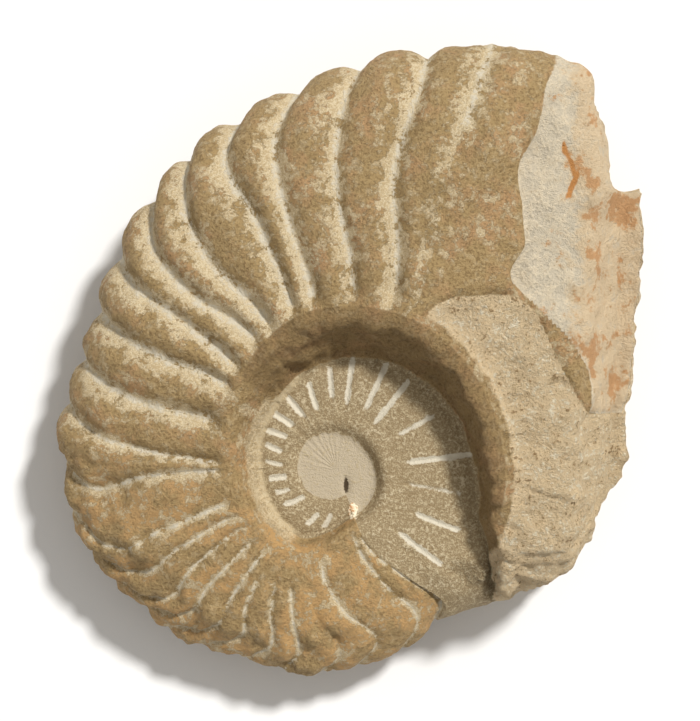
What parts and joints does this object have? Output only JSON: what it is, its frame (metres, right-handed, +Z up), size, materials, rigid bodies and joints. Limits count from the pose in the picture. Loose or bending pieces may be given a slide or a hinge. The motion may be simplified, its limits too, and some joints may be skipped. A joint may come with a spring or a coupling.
{
  "type": "fossil ammonite",
  "caption": "Coiled, ribbed fossil shell in stone, broken across its last whorl with a lump of bed rock, lying on a flat worn spot; a natural history display piece.",
  "frame": {"origin": "on the coil's axis, in the plane of the flat worn spot that the fossil rests on", "axes": "+Z up along the coil's axis, +Y towards the widest whorl, +X towards the broken side; seen from above the shell grew clockwise"},
  "size_m": [0.1874, 0.2009, 0.0679],
  "materials": {
    "fossil_stone": "matt weathered limestone, brown skin over cream stone, with rough golden bed rock and grey broken faces"
  },
  "bodies": {
    "root": {"ammonite": "fossil_stone"}
  },
  "joints": []
}
